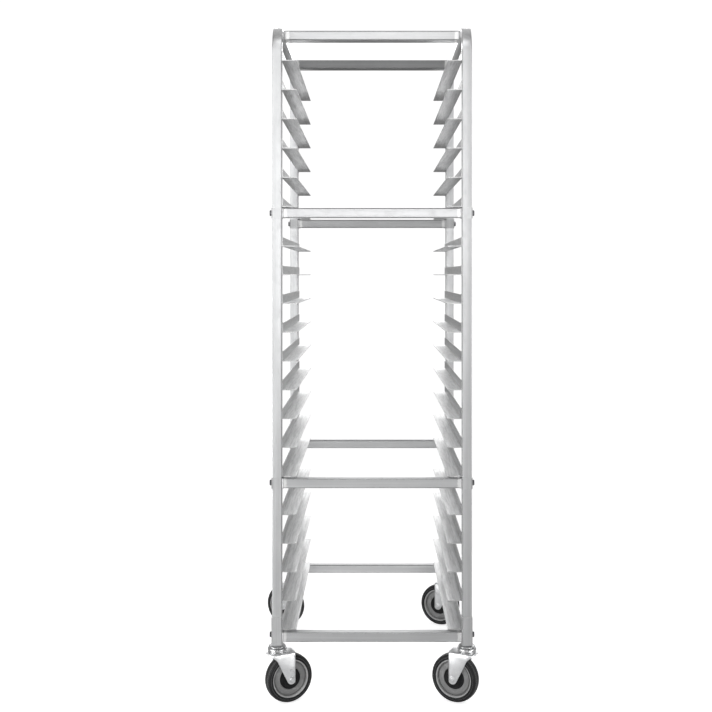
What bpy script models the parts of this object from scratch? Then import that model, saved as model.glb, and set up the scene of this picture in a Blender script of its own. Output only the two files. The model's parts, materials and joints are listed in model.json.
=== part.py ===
"""Sheet pan rack: an aluminium end-load bakery rack with twenty tiers on four swivel casters.

Metres, +Z up, the front faces -Y and the floor is z = 0. The origin is on the floor, midway
between the four posts. Every object is one closed solid, named for the sub-part it is.
"""

import math

import bmesh
import bpy
from mathutils import Matrix, Vector

# ---- the frame -------------------------------------------------------------------------------
RACK_WIDTH = 0.5207          # outside to outside of the posts
RACK_DEPTH = 0.6600          # front face to rear face of the posts
RACK_TOP = 1.7765            # top of the bent side hoops
TUBE = 0.0254                # square tube of the posts and crossbars
TUBE_WALL = 0.0016
TUBE_CORNER = 0.0026         # outer corner radius of the tube
BEND_RADIUS = 0.0593         # centre line of the hoop bends
BEND_STEPS = 7
CORNER_STEPS = 1             # facets round each corner of a square section
GAP = 0.0003                 # clearance between pieces that touch
OVERLAP = 0.0010             # how far solids run into each other before they are joined

# Each side frame is three ladders: tiers, height of the top ledge's underside, pitch.
UPPER_TIERS = (6, 1.6770, 0.0761)
MIDDLE_TIERS = (9, 1.1936, 0.0749)
LOWER_TIERS = (5, 0.4942, 0.0745)
RUNNER_THICKNESS = 0.0022
RUNNER_LEDGE = 0.0385        # how far a ledge reaches in from the posts
RUNNER_FLANGE = 0.0245       # height of the upright leg of the angle
WELD_DEPTH = 0.0003          # how far a runner's back is fused into the posts

# ---- where the sections meet -----------------------------------------------------------------
UPPER_SPLIT = 1.2730         # upper posts end here
LOWER_SPLIT = 0.5880         # lower posts end here
POST_FOOT = 0.1580           # lower end of the posts, inside the leg sleeves
SPIGOT_HALF = 0.0108
SPIGOT_BORE = 0.0083
SPIGOT_CORNER = 0.0015
SPIGOT_REACH = 0.0400        # length of spigot that enters the neighbouring post
SPIGOT_GRIP = 0.0250         # length of spigot welded inside its own post

# ---- crossbars -------------------------------------------------------------------------------
COLLAR_WALL = 0.0013
COLLAR_HEIGHT = 0.0280
COLLAR_CORNER = 0.0035
FRONT_BAR_HEIGHTS = {"lower": 0.1634, "lower_middle": 0.5640, "upper_middle": 1.2682}
REAR_BAR_HEIGHTS = {"lower": 0.1701, "lower_middle": 0.5673, "upper_middle": 1.2694}
SLEEVE_FOOT = 0.1545
SLEEVE_HEAD = 0.2270
NOTCH_DEPTH = 0.0060         # slot in a leg sleeve that lets the lowest runner pass
NOTCH_CLEARANCE = 0.0040
TOP_BAR_DEPTH = 0.0381
FRONT_TOP_BAR_SETBACK = 0.0950   # from the front face of the posts to the bar
REAR_TOP_BAR_SETBACK = 0.5000

# ---- section bolts ---------------------------------------------------------------------------
BOLT_RADIUS = 0.0039
BOLT_HOLE_RADIUS = 0.0043
BOLT_HOLE_START = 0.0040     # holes are cut from here, measured out from the post's centre
BOLT_HOLE_END = 0.0200
BOLT_HEAD_ACROSS_FLATS = 0.0130
BOLT_HEAD_HEIGHT = 0.0050
BOLT_HEAD_RIM = 0.0040       # height of the flats, below the domed top
BOLT_DOME_SHRINK = 0.86      # the dome's radius against the head's
BOLT_LENGTH = 0.0090
FOOT_BOLT_HEIGHT = 0.1800
HOLE_SEGMENTS = 10

# ---- casters ---------------------------------------------------------------------------------
WHEEL_RADIUS = 0.0635
WHEEL_HALF_WIDTH = 0.0160
CASTER_TRAIL = 0.0320
TOE_ANGLE = math.radians(27.0)   # how far each wheel's plane is turned from the X axis
FORK_HALF_WIDTH = 0.0222
FORK_SHEET = 0.0030
FORK_UNDERSIDE = 0.1315
FORK_TOP = 0.1350
FORK_BEND = 0.0075
FORK_FRONT = 0.0280          # reach of the crown ahead of the swivel axis
FORK_BACK = 0.0440           # reach of the crown behind it
FORK_REAR_CORNER = 0.0090
FORK_EYE_RADIUS = 0.0123     # rounded lower end around the axle
FORK_LEADING_EDGE = (        # (trail, height) from the crown's lip down to the eye
    (-0.0250, 0.1290), (-0.0160, 0.1235), (-0.0100, 0.1185), (-0.0072, 0.1150), (0.0064, 0.0868))
FORK_TRAILING_EDGE = 0.1120  # height where the trailing edge starts to slope in to the eye
FORK_LIP = 0.1310            # lower edge of the crown's round nose
TRIM_REACH = 0.0600          # the solids that trim a fork reach this far out
RACE_RADIUS = 0.0254
RACE_TOP = 0.1487
RACE_WAIST = 0.0022          # depth of the groove round the race
RACE_LIP = 0.0006            # how far the race's upper half stands in from the lower
RACE_STEPS = (0.0056, 0.0080, 0.0104)   # heights where the groove starts, is deepest and ends
CAP_TOP = 0.1540
CAP_RADIUS = 0.0232
CAP_CROWN_RADIUS = 0.0195
CAP_SLOPE = 0.0020           # height over which the cap's rim slopes in
RIVET_RADIUS = 0.0092        # closed end of the kingpin, under the crown
RIVET_TIP_RADIUS = 0.0070
RIVET_SHOULDER = 0.1290
RIVET_TIP = 0.1280
KINGPIN_RADIUS = 0.0060
AXLE_RADIUS = 0.00395
AXLE_HOLE_RADIUS = 0.0043
AXLE_HEAD_RADIUS = 0.0084
AXLE_HEAD_FLANGE = 0.0016
AXLE_HEAD_HEIGHT = 0.0036
AXLE_HEAD_CROWN = 0.0058     # radius of the flat on top of the head
AXLE_TAIL = 0.0080           # how far the bolt's tail passes the fork
AXLE_NUT_ACROSS_FLATS = 0.0130
AXLE_NUT_HEIGHT = 0.0060
STEM_HALF = 0.0108
STEM_TOP = 0.2150
STEM_HOLE_START = 0.0030     # the stem's bolt hole, measured out from its centre
STEM_HOLE_END = 0.0150
HUB_RADIUS = 0.0275
HUB_SLEEVE = (0.0090, 0.0186)        # radius and half length of the sleeve round the axle
HUB_NECK = (0.0110, 0.0146)
HUB_FACE = 0.0124            # half width where the hub meets the web
CORE_RADIUS = 0.0487
CORE_WEB = (0.0425, 0.0118)  # outer radius and half width of the web
CORE_RIM = (0.0455, 0.0152)  # inner radius and half width of the raised rim
TYRE_BORE = 0.0493
TYRE_SHOULDER = 0.0075
TYRE_CROWN = 0.0006          # how far the tread falls away to its shoulders
TYRE_FLAT = 0.0050           # half width of the tread's full height
STEM_SEGMENTS = 16
HUB_SEGMENTS = 16
CORE_SEGMENTS = 24
TYRE_SEGMENTS = 32

POST_X = (RACK_WIDTH - TUBE) / 2
POST_Y = (RACK_DEPTH - TUBE) / 2
HALF_TUBE = TUBE / 2
COLLAR_BORE_HALF = HALF_TUBE + GAP
COLLAR_HALF = COLLAR_BORE_HALF + COLLAR_WALL
SIDES = {"left": -1, "right": 1}
ENDS = {"front": -1, "rear": 1}


def clear_scene():
    for old in list(bpy.data.objects):
        bpy.data.objects.remove(old, do_unlink=True)


def make_material(name, colour, metallic, roughness):
    material = bpy.data.materials.new(name)
    material.use_nodes = True
    shader = material.node_tree.nodes["Principled BSDF"]
    shader.inputs["Base Color"].default_value = (*colour, 1.0)
    shader.inputs["Metallic"].default_value = metallic
    shader.inputs["Roughness"].default_value = roughness
    material.diffuse_color = (*colour, 1.0)
    return material


# ---- mesh helpers ----------------------------------------------------------------------------
def rounded_square(half_x, half_y, radius, steps=CORNER_STEPS):
    """Outline of a rectangle with rounded corners, centred on the origin."""
    points = []
    corners = ((1, 1, 0), (-1, 1, 90), (-1, -1, 180), (1, -1, 270))
    for sign_x, sign_y, start in corners:
        for step in range(steps + 1):
            angle = math.radians(start + 90 * step / steps)
            x = sign_x * (half_x - radius) + radius * math.cos(angle)
            y = sign_y * (half_y - radius) + radius * math.sin(angle)
            points.append((x, y))
    return points


def circle(radius, segments):
    turn = 2 * math.pi / segments
    return [(radius * math.cos(i * turn), radius * math.sin(i * turn)) for i in range(segments)]


def add_loft(bm, loops, closed):
    """Skin through loops of points. A closed loft returns to its first loop, as a tube does."""
    rings = [[bm.verts.new(point) for point in loop] for loop in loops]
    pairs = list(zip(rings, rings[1:]))
    if closed:
        pairs.append((rings[-1], rings[0]))
    faces = []
    for low, high in pairs:
        for i in range(len(low)):
            j = (i + 1) % len(low)
            faces.append(bm.faces.new((low[i], low[j], high[j], high[i])))
    if not closed:
        faces.append(bm.faces.new(list(reversed(rings[0]))))
        faces.append(bm.faces.new(rings[-1]))
    bmesh.ops.recalc_face_normals(bm, faces=faces)


def add_box(bm, low, high):
    corners = [(low[0], low[1]), (high[0], low[1]), (high[0], high[1]), (low[0], high[1])]
    add_loft(bm, [[(x, y, z) for x, y in corners] for z in (low[2], high[2])], closed=False)


def add_upright(bm, centre, stations, closed):
    """Square section around a vertical line, one (height, half width, corner) per station."""
    loops = []
    for z, half, corner in stations:
        outline = rounded_square(half, half, corner)
        loops.append([(centre[0] + x, centre[1] + y, z) for x, y in outline])
    add_loft(bm, loops, closed)


def add_turned(bm, profile, segments, closed, matrix=None):
    """Solid of revolution about Z from (radius, height) pairs, moved by the matrix."""
    matrix = matrix or Matrix.Identity(4)
    loops = []
    for radius, z in profile:
        loops.append([matrix @ Vector((x, y, z)) for x, y in circle(radius, segments)])
    add_loft(bm, loops, closed)


def add_prism(bm, outline, low, high, place):
    """Extrude a flat outline between two levels; place turns (a, b, level) into a point."""
    loops = [[place(a, b, level) for a, b in outline] for level in (low, high)]
    add_loft(bm, loops, closed=False)


def add_rod(bm, start, end, radius, segments=HOLE_SEGMENTS):
    """Round rod along X between two points that differ in x only."""
    low, high = sorted((start[0], end[0]))
    ring = circle(radius, segments)
    loops = [[(x, start[1] + a, start[2] + b) for a, b in ring] for x in (low, high)]
    add_loft(bm, loops, closed=False)


def finish(name, bm, material, parent=None, location=(0, 0, 0), smooth=False):
    mesh = bpy.data.meshes.new(name)
    bm.to_mesh(mesh)
    bm.free()
    mesh.materials.append(material)
    obj = bpy.data.objects.new(name, mesh)
    bpy.context.scene.collection.objects.link(obj)
    obj.parent = parent
    obj.location = location
    if smooth:
        mesh.shade_smooth()
        mesh.set_sharp_from_angle(angle=math.radians(35))
    return obj


def combine(obj, operation, bm, name):
    """Boolean the solids in bm with obj; the operand is kept as a hidden guide."""
    mesh = bpy.data.meshes.new(name)
    bm.to_mesh(mesh)
    bm.free()
    tool = bpy.data.objects.new(name, mesh)
    bpy.context.scene.collection.objects.link(tool)
    tool.parent = obj.parent
    tool.location = obj.location
    tool.hide_render = True
    tool.display_type = "WIRE"
    modifier = obj.modifiers.new(name, "BOOLEAN")
    modifier.operation = operation
    modifier.solver = "EXACT"
    modifier.object = tool


# ---- side frames -----------------------------------------------------------------------------
def tube_stations(low, high):
    """Open-ended square tube: up the outside, down the bore."""
    bore = HALF_TUBE - TUBE_WALL
    bore_corner = TUBE_CORNER - TUBE_WALL
    return [
        (low, HALF_TUBE, TUBE_CORNER),
        (high, HALF_TUBE, TUBE_CORNER),
        (high, bore, bore_corner),
        (low, bore, bore_corner),
    ]


def spigotted_stations(low, high):
    """Square tube with a narrower spigot standing out of both ends."""
    bore = HALF_TUBE - TUBE_WALL
    bore_corner = TUBE_CORNER - TUBE_WALL
    return [
        (low - SPIGOT_REACH, SPIGOT_HALF, SPIGOT_CORNER),
        (low, SPIGOT_HALF, SPIGOT_CORNER),
        (low, HALF_TUBE, TUBE_CORNER),
        (high, HALF_TUBE, TUBE_CORNER),
        (high, SPIGOT_HALF, SPIGOT_CORNER),
        (high + SPIGOT_REACH, SPIGOT_HALF, SPIGOT_CORNER),
        (high + SPIGOT_REACH, SPIGOT_BORE, bore_corner),
        (high - SPIGOT_GRIP, SPIGOT_BORE, bore_corner),
        (high - SPIGOT_GRIP, bore, bore_corner),
        (low + SPIGOT_GRIP, bore, bore_corner),
        (low + SPIGOT_GRIP, SPIGOT_BORE, bore_corner),
        (low - SPIGOT_REACH, SPIGOT_BORE, bore_corner),
    ]


def hoop_path():
    """Centre line of a bent hoop in the Y-Z plane, as (y, z, tangent angle from +Z)."""
    top = RACK_TOP - HALF_TUBE
    spring = top - BEND_RADIUS
    path = [(-POST_Y, UPPER_SPLIT, 0.0)]
    for step in range(BEND_STEPS + 1):
        angle = math.pi / 2 * step / BEND_STEPS
        y = -POST_Y + BEND_RADIUS * (1 - math.cos(angle))
        path.append((y, spring + BEND_RADIUS * math.sin(angle), angle))
    rear = [(-y, z, math.pi - angle) for y, z, angle in reversed(path)]
    return path + rear


def add_hoop(bm, centre_x):
    """One bent tube, swept along its path outside and back along its bore."""
    bore = HALF_TUBE - TUBE_WALL
    skins = ((HALF_TUBE, TUBE_CORNER, 1), (bore, TUBE_CORNER - TUBE_WALL, -1))
    loops = []
    for half, corner, direction in skins:
        outline = rounded_square(half, half, corner)
        for y, z, angle in hoop_path()[::direction]:
            loop = []
            for across, inward in outline:
                loop.append((
                    centre_x + across,
                    y + inward * math.cos(angle),
                    z - inward * math.sin(angle),
                ))
            loops.append(loop)
    add_loft(bm, loops, closed=True)


def ledge_heights(tiers):
    count, top, pitch = tiers
    return [top - i * pitch for i in range(count)]


def add_runners(bm, side, tiers):
    """The angle runners of one ladder: an upright leg on the posts and a ledge reaching in."""
    back = POST_X - HALF_TUBE + WELD_DEPTH
    face = POST_X - HALF_TUBE - RUNNER_THICKNESS
    tip = POST_X - HALF_TUBE - RUNNER_LEDGE
    for z in ledge_heights(tiers):
        outline = [
            (back, z),
            (back, z + RUNNER_FLANGE),
            (face, z + RUNNER_FLANGE),
            (face, z + RUNNER_THICKNESS),
            (tip, z + RUNNER_THICKNESS),
            (tip, z),
        ]
        add_prism(bm, outline, -RACK_DEPTH / 2, RACK_DEPTH / 2,
                  lambda a, b, level: (side * a, level, b))


def bar_centre_height(end_name, level):
    heights = FRONT_BAR_HEIGHTS if end_name == "front" else REAR_BAR_HEIGHTS
    return heights[level] + HALF_TUBE


def add_bolt_holes(bm, side, heights):
    """Holes for the section bolts through the outer walls at the given (end, height) pairs."""
    for end, z in heights:
        add_rod(bm,
                (side * (POST_X + BOLT_HOLE_START), end * POST_Y, z),
                (side * (POST_X + BOLT_HOLE_END), end * POST_Y, z),
                BOLT_HOLE_RADIUS)


def make_ladder(name, side, tiers, add_posts, bolt_levels, material):
    posts = bmesh.new()
    add_posts(posts, side * POST_X)
    ladder = finish(name, posts, material)
    runners = bmesh.new()
    add_runners(runners, side, tiers)
    combine(ladder, "UNION", runners, f"join_{name}_runners")
    holes = bmesh.new()
    spots = []
    for end_name, end in ENDS.items():
        for level in bolt_levels:
            if level == "foot":
                spots.append((end, FOOT_BOLT_HEIGHT))
            else:
                spots.append((end, bar_centre_height(end_name, level)))
    add_bolt_holes(holes, side, spots)
    combine(ladder, "DIFFERENCE", holes, f"cut_{name}_bolt_holes")


def add_middle_posts(bm, centre_x):
    stations = spigotted_stations(LOWER_SPLIT + GAP, UPPER_SPLIT - GAP)
    for end in ENDS.values():
        add_upright(bm, (centre_x, end * POST_Y), stations, closed=True)


def add_lower_posts(bm, centre_x):
    stations = tube_stations(POST_FOOT, LOWER_SPLIT)
    for end in ENDS.values():
        add_upright(bm, (centre_x, end * POST_Y), stations, closed=True)


def make_side_frames(material):
    for side_name, side in SIDES.items():
        make_ladder(f"{side_name}_upper_hoop_ladder", side, UPPER_TIERS, add_hoop,
                    ["upper_middle"], material)
        make_ladder(f"{side_name}_middle_ladder", side, MIDDLE_TIERS, add_middle_posts,
                    ["upper_middle", "lower_middle"], material)
        make_ladder(f"{side_name}_lower_ladder", side, LOWER_TIERS, add_lower_posts,
                    ["lower_middle", "foot"], material)


# ---- crossbars -------------------------------------------------------------------------------
def collar_stations(low, high):
    """Square collar that slides over a post."""
    bore_corner = TUBE_CORNER
    return [
        (low, COLLAR_HALF, COLLAR_CORNER),
        (high, COLLAR_HALF, COLLAR_CORNER),
        (high, COLLAR_BORE_HALF, bore_corner),
        (low, COLLAR_BORE_HALF, bore_corner),
    ]


def add_bar(bm, centre_y, low_z, depth, half_length):
    """Solid rectangular bar along X with rounded long edges."""
    half_height = TUBE / 2
    outline = rounded_square(depth / 2, half_height, TUBE_CORNER)
    add_prism(bm, outline, -half_length, half_length,
              lambda a, b, level: (level, centre_y + a, low_z + half_height + b))


def add_bar_bore(bm, centre_y, low_z, depth, half_length):
    half_y = depth / 2 - TUBE_WALL
    add_box(bm,
            (-half_length, centre_y - half_y, low_z + TUBE_WALL),
            (half_length, centre_y + half_y, low_z + TUBE - TUBE_WALL))


def make_crossbar(name, end, low_z, collar_low, collar_high, bolt_z, notched, material):
    """A crossbar with a collar or leg sleeve welded on each end."""
    centre_y = end * POST_Y
    collars = bmesh.new()
    for side in SIDES.values():
        add_upright(collars, (side * POST_X, centre_y),
                    collar_stations(collar_low, collar_high), closed=True)
    crossbar = finish(name, collars, material)
    bar = bmesh.new()
    add_bar(bar, centre_y, low_z, TUBE, POST_X - COLLAR_HALF + OVERLAP)
    combine(crossbar, "UNION", bar, f"join_{name}_tube")
    cuts = bmesh.new()
    add_bar_bore(cuts, centre_y, low_z, TUBE, POST_X - COLLAR_BORE_HALF + OVERLAP / 2)
    for side in SIDES.values():
        add_bolt_holes(cuts, side, [(end, bolt_z)])
        if notched:
            add_runner_notch(cuts, side, end)
    combine(crossbar, "DIFFERENCE", cuts, f"cut_{name}_bore_and_holes")


def add_runner_notch(bm, side, end):
    """Slot in a leg sleeve's inner wall that lets the lowest runner pass."""
    lowest_ledge = ledge_heights(LOWER_TIERS)[-1]
    outer_x = POST_X - HALF_TUBE + WELD_DEPTH + GAP
    xs = sorted((side * outer_x, side * (outer_x - NOTCH_DEPTH)))
    ys = sorted((end * (POST_Y + COLLAR_BORE_HALF),
                 end * (POST_Y - COLLAR_HALF - NOTCH_CLEARANCE)))
    add_box(bm, (xs[0], ys[0], lowest_ledge - GAP),
            (xs[1], ys[1], SLEEVE_HEAD + NOTCH_CLEARANCE))


def make_top_bar(name, setback, material):
    """Open-ended tube between the two hoops, flush with their tops."""
    centre_y = -RACK_DEPTH / 2 + setback + TOP_BAR_DEPTH / 2
    half_length = POST_X - HALF_TUBE - GAP
    bar = bmesh.new()
    outer = rounded_square(TOP_BAR_DEPTH / 2, HALF_TUBE, TUBE_CORNER)
    inner = rounded_square(TOP_BAR_DEPTH / 2 - TUBE_WALL, HALF_TUBE - TUBE_WALL,
                           TUBE_CORNER - TUBE_WALL)
    centre_z = RACK_TOP - HALF_TUBE
    loops = []
    for outline, x in ((outer, -1), (outer, 1), (inner, 1), (inner, -1)):
        loops.append([(x * half_length, centre_y + a, centre_z + b) for a, b in outline])
    add_loft(bar, loops, closed=True)
    finish(name, bar, material)


def make_crossbars(material):
    make_top_bar("top_front_crossbar", FRONT_TOP_BAR_SETBACK, material)
    make_top_bar("top_rear_crossbar", REAR_TOP_BAR_SETBACK, material)
    for end_name, end in ENDS.items():
        for level in ("upper_middle", "lower_middle"):
            centre = bar_centre_height(end_name, level)
            make_crossbar(f"{level}_{end_name}_crossbar", end, centre - HALF_TUBE,
                          centre - COLLAR_HEIGHT / 2, centre + COLLAR_HEIGHT / 2,
                          centre, False, material)
        low_z = bar_centre_height(end_name, "lower") - HALF_TUBE
        make_crossbar(f"lower_{end_name}_crossbar", end, low_z, SLEEVE_FOOT, SLEEVE_HEAD,
                      FOOT_BOLT_HEIGHT, True, material)


# ---- section bolts ---------------------------------------------------------------------------
def make_bolts(material):
    """Hex bolts that pin each collar, post and spigot or caster stem together."""
    for side_name, side in SIDES.items():
        for end_name, end in ENDS.items():
            for level in ("upper_middle", "lower_middle", "lower"):
                z = FOOT_BOLT_HEIGHT
                if level != "lower":
                    z = bar_centre_height(end_name, level)
                seat = POST_X + COLLAR_HALF + GAP
                turn = Matrix.Rotation(side * math.pi / 2, 4, "Y")
                bolt = bmesh.new()
                head_radius = BOLT_HEAD_ACROSS_FLATS / 2 / math.cos(math.pi / 6)
                head = [(head_radius, 0), (head_radius, BOLT_HEAD_RIM),
                        (head_radius * BOLT_DOME_SHRINK, BOLT_HEAD_HEIGHT)]
                add_turned(bolt, head, 6, closed=False, matrix=turn)
                name = f"{level}_{end_name}_{side_name}_bolt"
                obj = finish(name, bolt, material, location=(side * seat, end * POST_Y, z))
                shank = bmesh.new()
                add_rod(shank, (side * OVERLAP, 0, 0), (-side * BOLT_LENGTH, 0, 0), BOLT_RADIUS)
                combine(obj, "UNION", shank, f"join_{name}_shank")


# ---- casters ---------------------------------------------------------------------------------
def fork_side_outline():
    """Leg seen along the axle: (trail, height), wide at the crown, rounded at the axle."""
    top = FORK_TOP + OVERLAP
    nose, tail = -FORK_FRONT - OVERLAP, FORK_BACK + OVERLAP
    outline = [(nose, top), (nose, FORK_LIP), *FORK_LEADING_EDGE]
    start = math.radians(206)
    sweep = math.radians(154)
    steps = 6
    for step in range(steps + 1):
        angle = start + sweep * step / steps
        outline.append((
            CASTER_TRAIL + FORK_EYE_RADIUS * math.cos(angle),
            WHEEL_RADIUS + FORK_EYE_RADIUS * math.sin(angle),
        ))
    return outline + [(tail, FORK_TRAILING_EDGE), (tail, top)]


def fork_plan_outline():
    """Crown seen from above: a round nose, straight cheeks and rounded rear corners."""
    width = FORK_HALF_WIDTH + OVERLAP
    nose_angle = math.asin(width / FORK_FRONT)
    outline = []
    steps = 8
    for step in range(steps + 1):
        angle = math.pi - nose_angle + 2 * nose_angle * step / steps
        outline.append((FORK_FRONT * math.cos(angle), FORK_FRONT * math.sin(angle)))
    corner = FORK_REAR_CORNER
    for sign, start in ((-1, -90), (1, 0)):
        for step in range(4):
            angle = math.radians(start + 30 * step)
            outline.append((
                FORK_BACK - corner + corner * math.cos(angle),
                sign * (width - corner) + corner * math.sin(angle),
            ))
    return outline


def fork_channel_outline():
    """Cross-section of the folded sheet: an upside-down U with rounded bends."""
    outline = []
    skins = (
        (FORK_HALF_WIDTH, FORK_TOP, FORK_BEND, 1),
        (FORK_HALF_WIDTH - FORK_SHEET, FORK_UNDERSIDE, FORK_BEND - FORK_SHEET, -1),
    )
    foot = WHEEL_RADIUS - FORK_EYE_RADIUS - 2 * OVERLAP
    steps = 2
    for half, top, bend, direction in skins:
        points = [(half, foot)]
        for sign, start in ((1, 0), (-1, 90)):
            for step in range(steps + 1):
                angle = math.radians(start + 90 * step / steps)
                points.append((
                    sign * (half - bend) + bend * math.cos(angle),
                    top - bend + bend * math.sin(angle),
                ))
        points.append((-half, foot))
        outline += points[::direction]
    return outline


def make_fork(name, caster, material):
    channel = bmesh.new()
    add_prism(channel, fork_channel_outline(), -TRIM_REACH, TRIM_REACH,
              lambda a, b, level: (level, a, b))
    fork = finish(name, channel, material, parent=caster)
    side = bmesh.new()
    add_prism(side, fork_side_outline(), -TRIM_REACH, TRIM_REACH,
              lambda a, b, level: (a, level, b))
    combine(fork, "INTERSECT", side, f"trim_{name}_side")
    plan = bmesh.new()
    add_prism(plan, fork_plan_outline(), 0, RACE_TOP, lambda a, b, level: (a, b, level))
    combine(fork, "INTERSECT", plan, f"trim_{name}_plan")
    holes = bmesh.new()
    bore = KINGPIN_RADIUS + GAP
    add_turned(holes, [(bore, RIVET_TIP), (bore, RACE_TOP)], STEM_SEGMENTS, closed=False)
    add_turned(holes, [(AXLE_HOLE_RADIUS, -TRIM_REACH), (AXLE_HOLE_RADIUS, TRIM_REACH)],
               HOLE_SEGMENTS, closed=False, matrix=axle_matrix())
    combine(fork, "DIFFERENCE", holes, f"cut_{name}_holes")


def axle_matrix():
    """Turns the Z axis onto the axle, which runs along the caster's own Y."""
    place = Matrix.Translation((CASTER_TRAIL, 0, WHEEL_RADIUS))
    return place @ Matrix.Rotation(-math.pi / 2, 4, "X")


def make_stem(name, caster, material):
    """Square stem, cap and kingpin in one: the part of the caster that never turns."""
    pin = bmesh.new()
    profile = [
        (RIVET_TIP_RADIUS, RIVET_TIP),
        (RIVET_RADIUS, RIVET_SHOULDER),
        (RIVET_RADIUS, FORK_UNDERSIDE - GAP),
        (KINGPIN_RADIUS, FORK_UNDERSIDE - GAP),
        (KINGPIN_RADIUS, RACE_TOP + GAP),
        (CAP_RADIUS, RACE_TOP + GAP),
        (CAP_RADIUS, CAP_TOP - CAP_SLOPE),
        (CAP_CROWN_RADIUS, CAP_TOP),
    ]
    add_turned(pin, profile, STEM_SEGMENTS, closed=False)
    return finish(name, pin, material, parent=caster)


def make_race(name, caster, material):
    """Ball race housing between the cap and the fork, with a groove round its waist."""
    race = bmesh.new()
    bore = KINGPIN_RADIUS + GAP
    low = FORK_TOP + GAP
    groove_start, groove_middle, groove_end = (low + rise for rise in RACE_STEPS)
    profile = [
        (bore, low),
        (RACE_RADIUS, low),
        (RACE_RADIUS, groove_start),
        (RACE_RADIUS - RACE_WAIST, groove_middle),
        (RACE_RADIUS - RACE_LIP, groove_end),
        (RACE_RADIUS - RACE_LIP, RACE_TOP),
        (bore, RACE_TOP),
    ]
    add_turned(race, profile, STEM_SEGMENTS, closed=True)
    finish(name, race, material, parent=caster, smooth=True)


def make_axle(name, caster, head_side, material):
    """Axle bolt with a flanged button head against one leg of the fork."""
    seat = FORK_HALF_WIDTH + GAP
    profile = [
        (AXLE_HEAD_CROWN, seat + AXLE_HEAD_HEIGHT),
        (AXLE_HEAD_RADIUS, seat + AXLE_HEAD_FLANGE),
        (AXLE_HEAD_RADIUS, seat),
        (AXLE_RADIUS, seat),
        (AXLE_RADIUS, -seat - AXLE_TAIL),
    ]
    axle = bmesh.new()
    add_turned(axle, [(r, head_side * z) for r, z in profile], HOLE_SEGMENTS, closed=False,
               matrix=Matrix.Rotation(-math.pi / 2, 4, "X"))
    finish(name, axle, material, parent=caster, location=(CASTER_TRAIL, 0, WHEEL_RADIUS),
           smooth=True)


def make_axle_nut(name, caster, head_side, material):
    seat = FORK_HALF_WIDTH + GAP
    # Both rings have six sides, so each radius is taken from its size across the flats.
    corner = 1 / math.cos(math.pi / 6)
    outer = AXLE_NUT_ACROSS_FLATS / 2 * corner
    bore = (AXLE_RADIUS + GAP) * corner
    top = -seat - AXLE_NUT_HEIGHT
    profile = [(outer, -seat), (outer, top), (bore, top), (bore, -seat)]
    nut = bmesh.new()
    add_turned(nut, [(r, head_side * z) for r, z in profile], 6, closed=True,
               matrix=Matrix.Rotation(-math.pi / 2, 4, "X"))
    finish(name, nut, material, parent=caster, location=(CASTER_TRAIL, 0, WHEEL_RADIUS))


def mirrored_profile(half):
    """Complete a profile given for positive z with its mirror image below."""
    return half + [(r, -z) for r, z in reversed(half)]


def make_wheel_part(name, caster, profile, segments, material):
    part = bmesh.new()
    add_turned(part, profile, segments, closed=True,
               matrix=Matrix.Rotation(-math.pi / 2, 4, "X"))
    finish(name, part, material, parent=caster, location=(CASTER_TRAIL, 0, WHEEL_RADIUS),
           smooth=True)


def hub_profile():
    """Centre sleeve with a round face, bored for the axle."""
    return mirrored_profile([
        (AXLE_HOLE_RADIUS, HUB_SLEEVE[1]),
        HUB_SLEEVE,
        HUB_NECK,
        (HUB_RADIUS, HUB_FACE),
    ])


def core_profile():
    """Wheel centre: an inner ring, a recessed web and a raised rim."""
    inner = HUB_RADIUS + 2 * GAP
    return mirrored_profile([
        (inner, CORE_WEB[1]),
        CORE_WEB,
        CORE_RIM,
        (CORE_RADIUS, CORE_RIM[1]),
    ])


def tyre_profile():
    """Solid tyre with flat cheeks, round shoulders and a gently crowned tread."""
    half = [(TYRE_BORE, WHEEL_HALF_WIDTH)]
    for degrees in (10, 45, 75):
        angle = math.radians(degrees)
        half.append((
            WHEEL_RADIUS - TYRE_CROWN - TYRE_SHOULDER * (1 - math.sin(angle)),
            WHEEL_HALF_WIDTH - TYRE_SHOULDER * (1 - math.cos(angle)),
        ))
    half.append((WHEEL_RADIUS, TYRE_FLAT))
    return mirrored_profile(half)


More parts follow.
